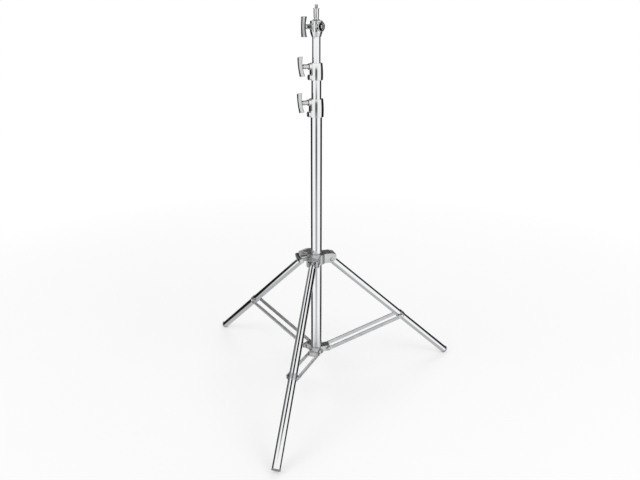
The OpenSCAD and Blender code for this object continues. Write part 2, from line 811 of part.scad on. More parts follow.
base_tube();
base_plug();
lower_hub();
hub_fixing_screw();
hub_bolts();
hub_nuts();
lower_collar();
lower_liner();
lower_shoe();
lower_fixing_screw();
lower_handle();
lower_clamp_screw();
lower_riser_glide();
lower_riser();
upper_collar();
upper_liner();
upper_shoe();
upper_fixing_screw();
upper_handle();
upper_clamp_screw();
upper_riser_glide();
upper_riser();
head();
head_pin();
head_handle();
head_clamp_screw();
spigot();
spider();
spider_liners();
spider_shoe();
spider_handle();
spider_clamp_screw();
leg_bolts();
leg_nuts();
leg_washers();
for (i = [0, 1, 2]) {
    leg_tube(i);
    leg_plug(i);
    bracket(i);
    foot(i);
    brace_bar(i, -1);
    brace_bar(i, 1);
    brace_rivets(i);
}
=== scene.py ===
import json
import math

import bmesh
import bpy
from mathutils import Matrix, Vector

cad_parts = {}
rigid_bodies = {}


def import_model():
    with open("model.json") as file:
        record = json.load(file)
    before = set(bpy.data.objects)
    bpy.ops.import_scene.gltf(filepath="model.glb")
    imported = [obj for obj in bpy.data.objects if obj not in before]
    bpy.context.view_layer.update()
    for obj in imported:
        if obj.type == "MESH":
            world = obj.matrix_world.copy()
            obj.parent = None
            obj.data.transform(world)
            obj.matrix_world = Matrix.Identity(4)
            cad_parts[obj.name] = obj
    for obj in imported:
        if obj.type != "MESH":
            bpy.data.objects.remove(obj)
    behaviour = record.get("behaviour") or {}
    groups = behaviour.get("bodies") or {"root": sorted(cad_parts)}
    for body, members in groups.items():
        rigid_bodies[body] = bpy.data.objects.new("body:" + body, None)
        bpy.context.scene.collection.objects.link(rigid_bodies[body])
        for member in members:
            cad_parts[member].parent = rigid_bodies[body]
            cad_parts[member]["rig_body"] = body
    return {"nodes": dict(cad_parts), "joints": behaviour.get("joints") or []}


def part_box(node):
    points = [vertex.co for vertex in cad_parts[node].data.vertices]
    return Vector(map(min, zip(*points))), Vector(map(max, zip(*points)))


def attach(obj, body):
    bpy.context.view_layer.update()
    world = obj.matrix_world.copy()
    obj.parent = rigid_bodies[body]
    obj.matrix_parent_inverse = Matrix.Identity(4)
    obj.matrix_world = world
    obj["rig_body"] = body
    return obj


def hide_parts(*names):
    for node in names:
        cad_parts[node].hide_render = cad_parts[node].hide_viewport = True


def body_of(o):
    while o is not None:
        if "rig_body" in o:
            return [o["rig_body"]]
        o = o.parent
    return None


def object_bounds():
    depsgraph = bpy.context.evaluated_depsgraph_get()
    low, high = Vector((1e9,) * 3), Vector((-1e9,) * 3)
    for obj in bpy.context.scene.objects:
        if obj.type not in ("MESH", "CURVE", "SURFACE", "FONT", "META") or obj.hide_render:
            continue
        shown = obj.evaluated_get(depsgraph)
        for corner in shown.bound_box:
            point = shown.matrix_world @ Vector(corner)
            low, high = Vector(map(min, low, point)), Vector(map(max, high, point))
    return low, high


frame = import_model()
CAD_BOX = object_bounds()

bl_info = {
    "name": "Telescopic lighting stand",
    "version": (1, 0, 0),
    "blender": (4, 5, 0),
    "location": "3D View > Sidebar > Stand",
    "description": "Finishes the pieces of a three-section lighting stand around its packed design",
    "category": "Object",
}

MM = 0.001
LEGS = {"front": 0.0, "right": 120.0, "left": 240.0}
JOINTS = {joint["name"]: joint for joint in frame["joints"]}


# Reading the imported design

def cad(node):
    """The frame's object for a node."""
    return frame["nodes"][node]


def middle(node):
    """The centre of a node's box."""
    low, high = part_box(node)
    return (low + high) / 2


def corners(node):
    """The vertices of a node at rest."""
    return [vertex.co.copy() for vertex in cad(node).data.vertices]


def ends(points, axis, depth):
    """The points that lie within a depth of either end along an axis."""
    along = [point.dot(axis) for point in points]
    low, high = min(along), max(along)
    return ([p for p, a in zip(points, along) if a < low + depth],
            [p for p, a in zip(points, along) if a > high - depth])


def tube_axis(node, guess):
    """(start, end, outer radius) of a tube that runs near guess: the means of its end rings' points, and the
    furthest of them from that axis."""
    axis = Vector(guess).normalized()
    for depth in (14 * MM, 2 * MM, 0.1 * MM):
        rings = ends(corners(node), axis, depth)
        start, end = (sum(ring, Vector()) / len(ring) for ring in rings)
        if abs(axis.z) < 0.999:
            axis = (end - start).normalized()
    radius = max((p - start).cross(axis).length for p in rings[0])
    return start, end, radius


def reach(node, origin, axis, near=None):
    """(lowest, highest) distance along an axis from origin of a node's vertices, or of those near origin."""
    origin, axis = Vector(origin), Vector(axis)
    points = [p - origin for p in corners(node)]
    along = [p.dot(axis) for p in points if near is None or p.cross(axis).length < near]
    return min(along), max(along)


def along_joint(node, joint):
    """(origin, axis, lowest, highest) of a node along the axis of the joint that it turns on."""
    origin, axis = Vector(JOINTS[joint]["pos_m"]), Vector(JOINTS[joint]["axis"])
    return (origin, axis) + reach(node, origin, axis)


def outward(azimuth):
    """A turn that points +X outwards at an azimuth counted from the front leg."""
    return Matrix.Rotation(math.radians(azimuth - 90), 4, "Z")


def frame_along(origin, axis):
    """A matrix that lays +Z along axis from origin."""
    return Matrix.Translation(origin) @ Vector(axis).to_track_quat("Z", "Y").to_matrix().to_4x4()


# Sizes and colours that a user would change

def length(name, about, value):
    """A length in metres, shown in the sidebar."""
    return bpy.props.FloatProperty(name=name, description=about, default=value, unit="LENGTH", precision=4)


def colour(name, about, value):
    """A colour without alpha."""
    return bpy.props.FloatVectorProperty(name=name, description=about, default=value, size=3, min=0, max=1,
                                         subtype="COLOR")


def share(name, about, value):
    """A number from 0 to 1."""
    return bpy.props.FloatProperty(name=name, description=about, default=value, min=0, max=1, subtype="FACTOR")


def angle(name, about, degrees):
    """An angle, shown in degrees."""
    return bpy.props.FloatProperty(name=name, description=about, default=math.radians(degrees),
                                   subtype="ANGLE", unit="ROTATION")


class StandFinishes(bpy.types.PropertyGroup):
    """Colours and roughness of the stand's finishes"""
    tube_colour: colour("Tube", "Polished steel of the column and legs", (0.86, 0.87, 0.88))
    tube_roughness: share("Tube roughness", "Roughness of the polished tubes", 0.07)
    casting_colour: colour("Casting", "Chromed zinc of the collars and head", (0.86, 0.865, 0.87))
    casting_roughness: share("Casting roughness", "Roughness of the chromed castings", 0.07)
    # Painted shade: the handles' chrome is the castings' chrome made darker, to stand in for the shade seen on the
    # handles.
    handle_shaded_colour: colour("Handle", "Chromed zinc of the clamp handles", (0.62, 0.625, 0.63))
    handle_roughness: share("Handle roughness", "Roughness of the clamp handles", 0.17)
    satin_colour: colour("Satin casting", "Blasted alloy of the leg collar and hub", (0.72, 0.725, 0.73))
    satin_roughness: share("Satin roughness", "Roughness of the blasted castings", 0.42)
    brace_colour: colour("Brace", "Zinc-plated steel of the braces and bands", (0.62, 0.63, 0.645))
    brace_roughness: share("Brace roughness", "Roughness of the braces and bands", 0.3)
    fastener_colour: colour("Fastener", "Plated steel of the bolts, nuts and rivets", (0.8, 0.8, 0.81))
    screw_colour: colour("Black screw", "Blackened steel of the socket screws", (0.045, 0.045, 0.05))
    nylon_colour: colour("Nylon", "Natural nylon of liners, glides and washers", (0.82, 0.8, 0.74))
    brass_colour: colour("Brass", "Brass of the clamp shoes", (0.78, 0.57, 0.25))
    plastic_colour: colour("Plastic", "Black plastic of the plugs", (0.03, 0.03, 0.032))
    rubber_colour: colour("Rubber", "Grey rubber of the feet", (0.2, 0.2, 0.205))


class StandSizes(bpy.types.PropertyGroup):
    """Sizes of the details that the finished pieces add to the design"""
    tube_wall: length("Tube wall", "Wall of the column and leg tubes", 1.2 * MM)
    tube_lip: length("Tube lip", "Radius of the rounded edge at a tube's ends", 0.45 * MM)
    casting_grain: length("Casting grid", "Spacing of the grid on which castings are rounded", 0.55 * MM)
    casting_rounding: bpy.props.IntProperty(name="Casting rounding", default=6, min=0, max=30,
                                            description="Passes that round a casting's corners")
    thread_pitch: length("Thread pitch", "Pitch of the clamp screws and bolts", 1.25 * MM)
    stud_pitch: length("Stud pitch", "Pitch of the threaded tip", 1.5 * MM)
    thread_depth: length("Thread depth", "Depth of the threads", 0.62 * MM)


class StandStudio(bpy.types.PropertyGroup):
    """Camera, floor and light"""
    camera_azimuth: angle("Camera direction", "Direction of the camera from the front leg", 12.804)
    camera_tilt: angle("Camera tilt", "Slope of the view below level", 14.985)
    camera_distance: length("Camera distance", "Level distance of the camera from the column", 1.82452)
    camera_height: length("Camera height", "Height of the camera above the floor", 1.16184)
    shift_x: bpy.props.FloatProperty(name="Shift sideways", default=0.0058, precision=4,
                                     description="Sideways shift of the lens, as a share of the sensor")
    shift_y: bpy.props.FloatProperty(name="Shift upwards", default=-0.09375, precision=4,
                                     description="Upward shift of the lens, as a share of the sensor")
    lens: bpy.props.FloatProperty(name="Lens", default=34.516, description="Focal length on a 36 mm sensor",
                                  subtype="DISTANCE_CAMERA")
    floor_size: length("Floor", "Side of the square floor", 12.0)
    lamp_power: bpy.props.FloatProperty(name="Lamp power", default=22.0, min=0, unit="POWER",
                                        description="Power of each soft lamp")
    room_light: share("Room light", "Strength of the plain light from all round", 0.62)
    screen_level: share("Screens", "Light of the dark screens that polished metal shows", 0.01)
    front_level: share("Front", "Light that polished metal finds straight in front of the stand", 0.12)
    ground_level: share("Ground", "Light of the ground that polished metal shows", 0.5)


# Node trees

class NodeTree:
    """A node tree under construction, with short calls for its nodes."""

    def __init__(self, tree):
        self.tree = tree
        self.tree.nodes.clear()

    def add(self, kind, inputs=None, **settings):
        """A node of a kind, with its settings and its inputs as values or sockets."""
        node = self.tree.nodes.new(kind)
        for key, value in settings.items():
            setattr(node, key, value)
        for key, value in (inputs or {}).items():
            self.join(value, node.inputs[key])
        return node

    def join(self, value, socket):
        """Sets a socket, or links it if the value is an output."""
        if isinstance(value, bpy.types.NodeSocket):
            self.tree.links.new(value, socket)
        else:
            socket.default_value = value

    def math(self, operation, *values, clamp=False):
        """The result of a Math node."""
        return self.add("ShaderNodeMath", dict(enumerate(values)), operation=operation,
                        use_clamp=clamp).outputs[0]

    def between(self, amount, first, second):
        """A number between two, by amount."""
        mix = self.add("ShaderNodeMix", {0: amount}, data_type="FLOAT")
        self.join(first, mix.inputs[2])
        self.join(second, mix.inputs[3])
        return mix.outputs[0]

    def ramp(self, value, stops):
        """A grey level from a soft ramp of (place, level) stops."""
        node = self.add("ShaderNodeValToRGB", {0: value})
        node.color_ramp.interpolation = "EASE"
        points = node.color_ramp.elements
        while len(points) < len(stops):
            points.new(0.5)
        for point, (place, level) in zip(points, stops):
            point.position, point.color = place, (level, level, level, 1)
        return node.outputs["Color"]


# Materials

class Finish(NodeTree):
    """A material under construction, on one principled shader."""

    def __init__(self, name):
        self.material = bpy.data.materials.get(name) or bpy.data.materials.new(name)
        self.material.use_nodes = True
        super().__init__(self.material.node_tree)
        self.out = self.add("ShaderNodeOutputMaterial")
        self.surface = self.add("ShaderNodeBsdfPrincipled")
        self.tree.links.new(self.surface.outputs["BSDF"], self.out.inputs["Surface"])

    def grain(self, stretch, scale, detail=3.0, coordinates="Object"):
        """Noise in stretched coordinates, from 0 to 1."""
        where = self.add("ShaderNodeTexCoord")
        placed = self.add("ShaderNodeMapping", {"Vector": where.outputs[coordinates], "Scale": stretch})
        noise = self.add("ShaderNodeTexNoise", {"Vector": placed.outputs["Vector"], "Scale": scale,
                                                "Detail": detail, "Roughness": 0.55})
        return noise.outputs["Fac"]

    def remap(self, value, low, high, to_low, to_high):
        """A value carried from one range to another, held inside it."""
        return self.add("ShaderNodeMapRange", {"Value": value, "From Min": low, "From Max": high,
                                               "To Min": to_low, "To Max": to_high}).outputs["Result"]

    def edges(self, spread=0.03):
        """1 on worn outer edges and 0 elsewhere."""
        point = self.add("ShaderNodeNewGeometry").outputs["Pointiness"]
        return self.remap(point, 0.5 + 0.25 * spread, 0.5 + spread, 0.0, 1.0)

    def crevice_shade_mask(self, depth):
        """1 in inner corners, sockets and slots narrower than a depth, and 0 in the open: the mask where shade is
        painted into the colour.
        """
        # Painted shade: ambient occlusion marks the hollows whose colour is darkened to stand in for shade.
        open_share = self.add("ShaderNodeAmbientOcclusion", {"Distance": depth}, samples=8).outputs["AO"]
        return self.remap(open_share, 0.35, 0.9, 1.0, 0.0)

    def blend(self, amount, first, second):
        """A colour between two, by amount."""
        mix = self.add("ShaderNodeMix", {0: amount}, data_type="RGBA")
        self.join(first, mix.inputs[6])
        self.join(second, mix.inputs[7])
        return mix.outputs[2]

    def total(self, *values):
        """The sum of values."""
        result = values[0]
        for value in values[1:]:
            result = self.math("ADD", result, value)
        return result

    def bump(self, height, distance, strength=1.0):
        """Raises the surface by a height from 0 to 1 over a distance in metres."""
        lift = self.add("ShaderNodeBump", {"Height": height, "Distance": distance, "Strength": strength})
        self.join(lift.outputs["Normal"], self.surface.inputs["Normal"])

    def set(self, **values):
        """Sets the shader's own sockets: base_color becomes Base Color."""
        for key, value in values.items():
            self.join(value, self.surface.inputs[key.replace("_", " ").title().replace("Ior", "IOR")])


def shade(rgb, factor):
    """A colour made lighter or darker, with alpha."""
    return tuple(min(1.0, channel * factor) for channel in rgb) + (1.0,)


def polished_metal(name, rgb, roughness, stretch, coordinates="Object", grain_scale=1.0, crevice_shade=0.0):
    """Bright metal with fine polishing lines, faint smears, worn edges and painted shade that darkens its hollows.
    """
    finish = Finish(name)
    lines = finish.grain(stretch, 2600.0 * grain_scale, 2.0, coordinates)
    smears = finish.grain((1, 1, 1), 22.0, 4.0)
    scratches = finish.remap(finish.grain(stretch, 900.0 * grain_scale, 6.0, coordinates), 0.66, 0.72, 0, 1)
    worn = finish.edges()
    base = finish.blend(finish.remap(smears, 0.3, 0.7, 0, 1), shade(rgb, 0.965), shade(rgb, 1.02))
    base = finish.blend(finish.remap(scratches, 0, 1, 0, 0.35), base, shade(rgb, 0.86))
    base = finish.blend(finish.remap(worn, 0, 1, 0, 0.5), base, shade(rgb, 1.12))
    if crevice_shade:
        # Painted shade: hollows narrower than 7 mm are darkened towards 12% of the colour.
        base = finish.blend(finish.remap(finish.crevice_shade_mask(7 * MM), 0, 1, 0, crevice_shade), base, shade(rgb, 0.12))
    rough = finish.total(finish.remap(lines, 0.35, 0.65, roughness - 0.035, roughness + 0.045),
                         finish.remap(smears, 0.42, 0.72, 0, 0.05), finish.remap(scratches, 0, 1, 0, 0.12))
    finish.set(base_color=base, metallic=1.0, roughness=rough)
    finish.bump(finish.total(lines, finish.remap(scratches, 0, 1, 0, -0.7)), 0.002 * MM, 0.5)
    return finish.material


def cast_metal(name, rgb, roughness, grain_depth):
    """Blasted or tumbled cast metal: a fine pebbled skin, soft stains, edges rubbed bright, and painted shade that
    darkens its hollows.
    """
    finish = Finish(name)
    pebbles = finish.grain((1, 1, 1), 1500.0, 4.0)
    waves = finish.grain((1, 1, 1), 160.0, 2.0)
    stains = finish.grain((1, 1, 1), 35.0, 5.0)
    worn = finish.edges()
    base = finish.blend(finish.remap(stains, 0.35, 0.7, 0, 1), shade(rgb, 1.03), shade(rgb, 0.9))
    base = finish.blend(finish.remap(worn, 0, 1, 0, 0.65), base, shade(rgb, 1.2))
    # Painted shade: hollows narrower than 6 mm are darkened towards 12% of the colour.
    base = finish.blend(finish.remap(finish.crevice_shade_mask(6 * MM), 0, 1, 0, 0.85), base, shade(rgb, 0.12))
    rough = finish.total(finish.remap(pebbles, 0.3, 0.7, roughness - 0.06, roughness + 0.06),
                         finish.remap(worn, 0, 1, 0, -0.12), finish.remap(stains, 0.4, 0.7, 0, 0.07))
    finish.set(base_color=base, metallic=1.0, roughness=rough)
    finish.bump(finish.total(pebbles, finish.remap(waves, 0, 1, 0, 1.5)), grain_depth, 0.8)
    return finish.material


def moulded(name, rgb, roughness, sheen=0.0, grain=900.0):
    """Moulded plastic or rubber: a fine matt grain, faint flow marks and scuffed edges."""
    finish = Finish(name)
    skin = finish.grain((1, 1, 1), grain, 3.0)
    flow = finish.grain((1, 1, 0.3), 60.0, 3.0)
    scuffed = finish.edges()
    base = finish.blend(finish.remap(flow, 0.35, 0.7, 0, 1), shade(rgb, 0.92), shade(rgb, 1.12))
    base = finish.blend(finish.remap(scuffed, 0, 1, 0, 0.4), base, shade(rgb, 1.5))
    rough = finish.remap(skin, 0.3, 0.7, roughness - 0.07, roughness + 0.08)
    finish.set(base_color=base, roughness=rough, sheen_weight=sheen)
    finish.bump(skin, 0.03 * MM, 0.7)
    return finish.material


# How polishing lines are stretched: along a tube's UV map, round +Z, or not at all
WRAPPED = (1.0, 0.02, 1.0)
AROUND = (0.04, 0.04, 1.0)
EVEN = (1.0, 1.0, 1.0)


def material(name):
    """The finish of a record slot, made once."""
    made = bpy.data.materials.get(name)
    if made and made.get("stand_finish"):
        return made
    look = bpy.context.scene.stand_finishes
    makers = {
        "polished_tube": lambda: polished_metal(name, look.tube_colour, look.tube_roughness, WRAPPED, "UV"),
        "leg_tube": lambda: polished_metal(name, look.tube_colour, look.tube_roughness, WRAPPED, "UV"),
        "chromed_casting": lambda: polished_metal(name, look.casting_colour, look.casting_roughness, AROUND,
                                                  crevice_shade=0.9),
        # Painted shade: the handles get a darker copy of the chrome, and painted shade in their hollows.
        "chromed_handle": lambda: polished_metal(name, look.handle_shaded_colour, look.handle_roughness, EVEN,
                                                 grain_scale=0.5, crevice_shade=0.9),
        "satin_casting": lambda: cast_metal(name, look.satin_colour, look.satin_roughness, 0.02 * MM),
        "bracket_metal": lambda: cast_metal(name, look.brace_colour, look.brace_roughness, 0.008 * MM),
        "brace_steel": lambda: cast_metal(name, look.brace_colour, look.brace_roughness, 0.01 * MM),
        "bright_fastener": lambda: polished_metal(name, look.fastener_colour, 0.1, AROUND, crevice_shade=0.8),
        "clamp_screw": lambda: polished_metal(name, look.fastener_colour, 0.28, AROUND),
        "black_screw": lambda: cast_metal(name, look.screw_colour, 0.4, 0.006 * MM),
        "nylon": lambda: moulded(name, look.nylon_colour, 0.42),
        "brass_shoe": lambda: polished_metal(name, look.brass_colour, 0.3, AROUND),
        "black_plastic": lambda: moulded(name, look.plastic_colour, 0.45),
        "foot_rubber": lambda: moulded(name, look.rubber_colour, 0.68, sheen=0.2, grain=600.0),
    }
    made = makers[name]()
    made["stand_finish"] = True
    return made


# Mesh work

def new_object(name, mesh):
    """An object at the origin that holds a mesh."""
    piece = bpy.data.objects.new(name, mesh)
    bpy.context.scene.collection.objects.link(piece)
    return piece


def flatten(piece):
    """Turns a piece's modifiers into plain mesh and removes them."""
    bpy.context.view_layer.update()
    view = bpy.context.evaluated_depsgraph_get()
    made = bpy.data.meshes.new_from_object(piece.evaluated_get(view))
    piece.modifiers.clear()
    old, piece.data = piece.data, made
    bpy.data.meshes.remove(old)
    return piece


def arc(centre_r, centre_z, radius, start, stop, steps=5):
    """Points (r, z) on an arc, its angles in degrees from +r towards +z."""
    turns = [math.radians(start + (stop - start) * i / steps) for i in range(steps + 1)]
    return [(centre_r + radius * math.cos(t), centre_z + radius * math.sin(t)) for t in turns]


def hexagon(turn, half_flats):
    """Distance from the middle to a hexagon's side at a turn."""
    return half_flats / math.cos((turn + math.pi / 6) % (math.pi / 3) - math.pi / 6)


def lathe(outline, segments=96):
    """A mesh turned about +Z from an outline of (r, z), closed on itself, with a UV map in metres.

    A point (r, z, cap) is on a hexagon r from middle to side, with its corners turned down to cap."""
    mesh = bpy.data.meshes.new("turned")
    shape = bmesh.new()
    unwrap = shape.loops.layers.uv.new("UVMap")
    widest = max(point[0] for point in outline)
    travelled = [0.0]
    for (r0, z0, *_), (r1, z1, *_) in zip(outline, outline[1:] + outline[:1]):
        travelled.append(travelled[-1] + math.hypot(r1 - r0, z1 - z0))
    rings = []
    for r, z, *cap in outline:
        if r < 1e-7:
            rings.append([shape.verts.new((0, 0, z))])
            continue
        turns = [2 * math.pi * i / segments for i in range(segments)]
        radii = [min(hexagon(t, r), cap[0]) if cap else r for t in turns]
        rings.append([shape.verts.new((q * math.cos(t), q * math.sin(t), z)) for q, t in zip(radii, turns)])
    for k, ring in enumerate(rings):
        after = rings[(k + 1) % len(rings)]
        if len(ring) == 1 and len(after) == 1:
            continue
        for i in range(segments):
            j = (i + 1) % segments
            loop = [ring[i % len(ring)], ring[j % len(ring)], after[j % len(after)], after[i % len(after)]]
            spots = [(i, k), (i + 1, k), (i + 1, k + 1), (i, k + 1)]
            corners_used = [(v, s) for n, (v, s) in enumerate(zip(loop, spots)) if v not in loop[:n]]
            face = shape.faces.new([v for v, _ in corners_used])
            face.smooth = True
            for corner, (_, (step, row)) in zip(face.loops, corners_used):
                corner[unwrap].uv = (2 * math.pi * widest * step / segments, travelled[row])
    bmesh.ops.recalc_face_normals(shape, faces=shape.faces)
    shape.to_mesh(mesh)
    shape.free()
    return mesh


def sharpen(mesh, degrees=40):
    """Smooth faces with crisp edges where they meet at more than an angle."""
    mesh.shade_smooth()
    mesh.set_sharp_from_angle(angle=math.radians(degrees))
    return mesh


def finish_piece(piece, nodes, slot):
    """Gives a piece its finish, rides it on its nodes' body and lets it stand for them."""
    nodes = [nodes] if isinstance(nodes, str) else list(nodes)
    piece.data.materials.clear()
    piece.data.materials.append(material(slot))
    bodies = {body_of(cad(node))[0] for node in nodes}
    if len(bodies) != 1:
        raise RuntimeError(f"{piece.name} stands for nodes of several bodies: {sorted(bodies)}")
    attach(piece, bodies.pop())
    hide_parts(*nodes)
    return piece


def finish_mesh(node, mesh, slot):
    """A finished piece that holds a mesh and stands for one node."""
    return finish_piece(new_object(f"{node}_finished", mesh), node, slot)


def fused(piece, grid, passes, thin):
    """One skin round a piece's overlapping shapes, with fillets where they meet."""
    remesh = piece.modifiers.new("Grid", "REMESH")
    remesh.mode, remesh.voxel_size = "VOXEL", grid
    rounding = piece.modifiers.new("Rounding", "SMOOTH")
    rounding.factor, rounding.iterations = 0.5, passes
    thinning = piece.modifiers.new("Thinning", "DECIMATE")
    thinning.ratio = thin
    flatten(piece)
    sharpen(piece.data, 55)
    return piece


def rounded_casting(node, slot, grid=None, passes=None, thin=0.35):
    """A casting's finished skin: the design's solid on a fine grid, its corners rounded, its flats thinned."""
    sizes = bpy.context.scene.stand_sizes
    mesh = cad(node).data.copy()
    shape = bmesh.new()
    shape.from_mesh(mesh)
    bmesh.ops.remove_doubles(shape, verts=shape.verts, dist=0.002 * MM)
    shape.to_mesh(mesh)
    shape.free()
    mesh.materials.clear()
    piece = fused(new_object(f"{node}_finished", mesh), grid or sizes.casting_grain,
                  sizes.casting_rounding if passes is None else passes, thin)
    return finish_piece(piece, node, slot)


def tube_mesh(radius, wall, lip, span):
    """A tube along +Z with rounded edges at both ends."""
    inner = radius - wall
    outline = (arc(radius - lip, lip, lip, -90, 0, 4) + arc(radius - lip, span - lip, lip, 0, 90, 4)
               + arc(inner + lip, span - lip, lip, 90, 180, 4) + arc(inner + lip, lip, lip, 180, 270, 4))
    return lathe(outline, 112)


def tube_piece(node, slot, guess):
    """A finished tube in place of a node that runs along guess."""
    sizes = bpy.context.scene.stand_sizes
    start, end, radius = tube_axis(node, guess)
    mesh = tube_mesh(radius, sizes.tube_wall, sizes.tube_lip, (end - start).length)
    mesh.transform(frame_along(start, end - start))
    return finish_mesh(node, mesh, slot)


# Geometry Nodes

class Recipe(NodeTree):
    """A Geometry Nodes tree under construction, with named inputs."""

    KINDS = {"length": "NodeSocketFloat", "count": "NodeSocketInt", "finish": "NodeSocketMaterial",
             "shape": "NodeSocketObject"}

    def __init__(self, name, **inputs):
        super().__init__(bpy.data.node_groups.new(name, "GeometryNodeTree"))
        self.sockets = {}
        for key, kind in inputs.items():
            socket = self.tree.interface.new_socket(key.replace("_", " ").capitalize(), in_out="INPUT",
                                                    socket_type=self.KINDS[kind])
            self.sockets[key] = socket.identifier
        self.tree.interface.new_socket("Geometry", in_out="OUTPUT", socket_type="NodeSocketGeometry")
        self.source = self.add("NodeGroupInput")
        self.out = self.add("NodeGroupOutput")

    def value(self, key):
        """The output of a named input."""
        wanted = self.sockets[key]
        return next(output for output in self.source.outputs if output.identifier == wanted)

    def end(self, geometry):
        """Realizes the shape, gives it its finish and closes the tree."""
        real = self.add("GeometryNodeRealizeInstances", {"Geometry": geometry})
        last = self.add("GeometryNodeSetMaterial", {"Geometry": real.outputs[0],
                                                    "Material": self.value("finish")})
        self.tree.links.new(last.outputs[0], self.out.inputs[0])

    def grow(self, name, **values):
        """A plain mesh grown by the tree with these inputs."""
        piece = new_object(name, bpy.data.meshes.new(name))
        grower = piece.modifiers.new("Grower", "NODES")
        grower.node_group = self.tree
        for key, value in values.items():
            grower[self.sockets[key]] = value
        flatten(piece)
        mesh = piece.data
        bpy.data.objects.remove(piece)
        return mesh


def threaded_rod_recipe():
    """A rod along +Z with a cut thread and chamfered, closed ends."""
    recipe = Recipe("threaded_rod", radius="length", depth="length", pitch="length", span="length",
                    chamfer="length", rings="count", finish="finish")
    segments = 49
    grid = recipe.add("GeometryNodeMeshGrid", {"Size X": 1.0, "Size Y": 1.0, "Vertices X": segments,
                                               "Vertices Y": recipe.value("rings")})
    place = recipe.add("ShaderNodeSeparateXYZ", {0: recipe.add("GeometryNodeInputPosition").outputs[0]})
    round_share = recipe.math("ADD", place.outputs[0], 0.5)
    height = recipe.math("MULTIPLY", recipe.math("ADD", place.outputs[1], 0.5), recipe.value("span"))
    turns = recipe.math("ADD", recipe.math("DIVIDE", height, recipe.value("pitch")), round_share)
    groove = recipe.math("MULTIPLY", recipe.math("PINGPONG", turns, 0.5), 2.0)
    from_end = recipe.math("MINIMUM", height, recipe.math("SUBTRACT", recipe.value("span"), height))
    cut = recipe.math("SUBTRACT", recipe.value("radius"), recipe.math("MULTIPLY", groove,
                                                                     recipe.value("depth")))
    chamfered = recipe.math("ADD", recipe.math("SUBTRACT", recipe.value("radius"),
                                               recipe.value("chamfer")), from_end)
    closed = recipe.math("GREATER_THAN", from_end, 1e-7)
    from_axis = recipe.math("MULTIPLY", recipe.math("MINIMUM", cut, chamfered), closed)
    around = recipe.math("MULTIPLY", round_share, 2 * math.pi)
    spot = recipe.add("ShaderNodeCombineXYZ", {0: recipe.math("MULTIPLY", from_axis, recipe.math("COSINE", around)),
                                               1: recipe.math("MULTIPLY", from_axis,
                                                              recipe.math("SINE", around)),
                                               2: height})
    bent = recipe.add("GeometryNodeSetPosition", {"Geometry": grid.outputs[0], "Position": spot.outputs[0]})
    sewn = recipe.add("GeometryNodeMergeByDistance", {"Geometry": bent.outputs[0], "Distance": 2e-6})
    smooth = recipe.add("GeometryNodeSetShadeSmooth", {"Geometry": sewn.outputs[0], "Shade Smooth": True})
    recipe.end(smooth.outputs[0])
    return recipe


def ring_recipe():
    """Copies of one shape, evenly round +Z, each turned with its place."""
    recipe = Recipe("ring_of_copies", shape="shape", count="count", finish="finish")
    line = recipe.add("GeometryNodeMeshLine", {"Count": recipe.value("count"), "Offset": (0, 0, 0)})
    step = recipe.math("DIVIDE", 2 * math.pi, recipe.value("count"))
    turn = recipe.math("MULTIPLY", recipe.add("GeometryNodeInputIndex").outputs[0], step)
    aim = recipe.add("ShaderNodeCombineXYZ", {2: turn})
    shape = recipe.add("GeometryNodeObjectInfo", {"Object": recipe.value("shape")})
    copies = recipe.add("GeometryNodeInstanceOnPoints", {"Points": line.outputs[0],
                                                         "Instance": shape.outputs["Geometry"],
                                                         "Rotation": aim.outputs[0]})
    recipe.end(copies.outputs[0])
    return recipe


RECIPES = {}


def recipe(name):
    """A Geometry Nodes tree by name, built once."""
    makers = {"threaded_rod": threaded_rod_recipe, "ring": ring_recipe}
    if name not in RECIPES:
        RECIPES[name] = makers[name]()
    return RECIPES[name]


def threaded_rod(radius, span, pitch, slot):
    """The mesh of a threaded rod from the origin along +Z."""
    sizes = bpy.context.scene.stand_sizes
    rings = 2 + math.ceil(8 * span / pitch)
    return recipe("threaded_rod").grow("thread", radius=radius, depth=sizes.thread_depth, pitch=pitch,
                                       span=span, chamfer=sizes.thread_depth, rings=rings,
                                       finish=material(slot))


def ringed(mesh, count, slot):
    """The mesh of a shape copied evenly round the column."""
    pattern = new_object("pattern", mesh)
    made = recipe("ring").grow("ringed", shape=pattern, count=count, finish=material(slot))
    bpy.data.objects.remove(pattern)
    return made


def joined(*meshes):
    """One mesh of several."""
    whole = bmesh.new()
    for mesh in meshes:
        whole.from_mesh(mesh)
    made = bpy.data.meshes.new("joined")
    whole.to_mesh(made)
    whole.free()
    return made


def moved(mesh, matrix):
    """A mesh after a move."""
    mesh.transform(matrix)
    return mesh


# Operators

def finish_cad(nodes, slot):
    """Gives kept nodes the finish of a slot."""
    for node in nodes:
        piece = cad(node)
        if not piece.material_slots:
            piece.data.materials.append(material(slot))
        for place in piece.material_slots:
            place.material = material(slot)


class STAND_OT_column(bpy.types.Operator):
    """Make the base tube and the two riser tubes, with rounded ends"""
    bl_idname = "stand.column"
    bl_label = "Column tubes"

    def execute(self, context):
        for node in ("base_tube", "lower_riser", "upper_riser"):
            tube_piece(node, "polished_tube", (0, 0, 1))
        return {"FINISHED"}


class STAND_OT_collars(bpy.types.Operator):
    """Round the two collar castings and the head casting"""
    bl_idname = "stand.collars"
    bl_label = "Collars and head"

    def execute(self, context):
        for node in ("lower_collar", "upper_collar", "head"):
            rounded_casting(node, "chromed_casting", grid=0.5 * MM, passes=5)
        return {"FINISHED"}


class STAND_OT_leg_collar(bpy.types.Operator):
    """Round the sliding leg collar and the lower hub"""
    bl_idname = "stand.leg_collar"
    bl_label = "Leg collar and hub"

    def execute(self, context):
        for node in ("spider", "lower_hub"):
            rounded_casting(node, "satin_casting", passes=8)
        return {"FINISHED"}


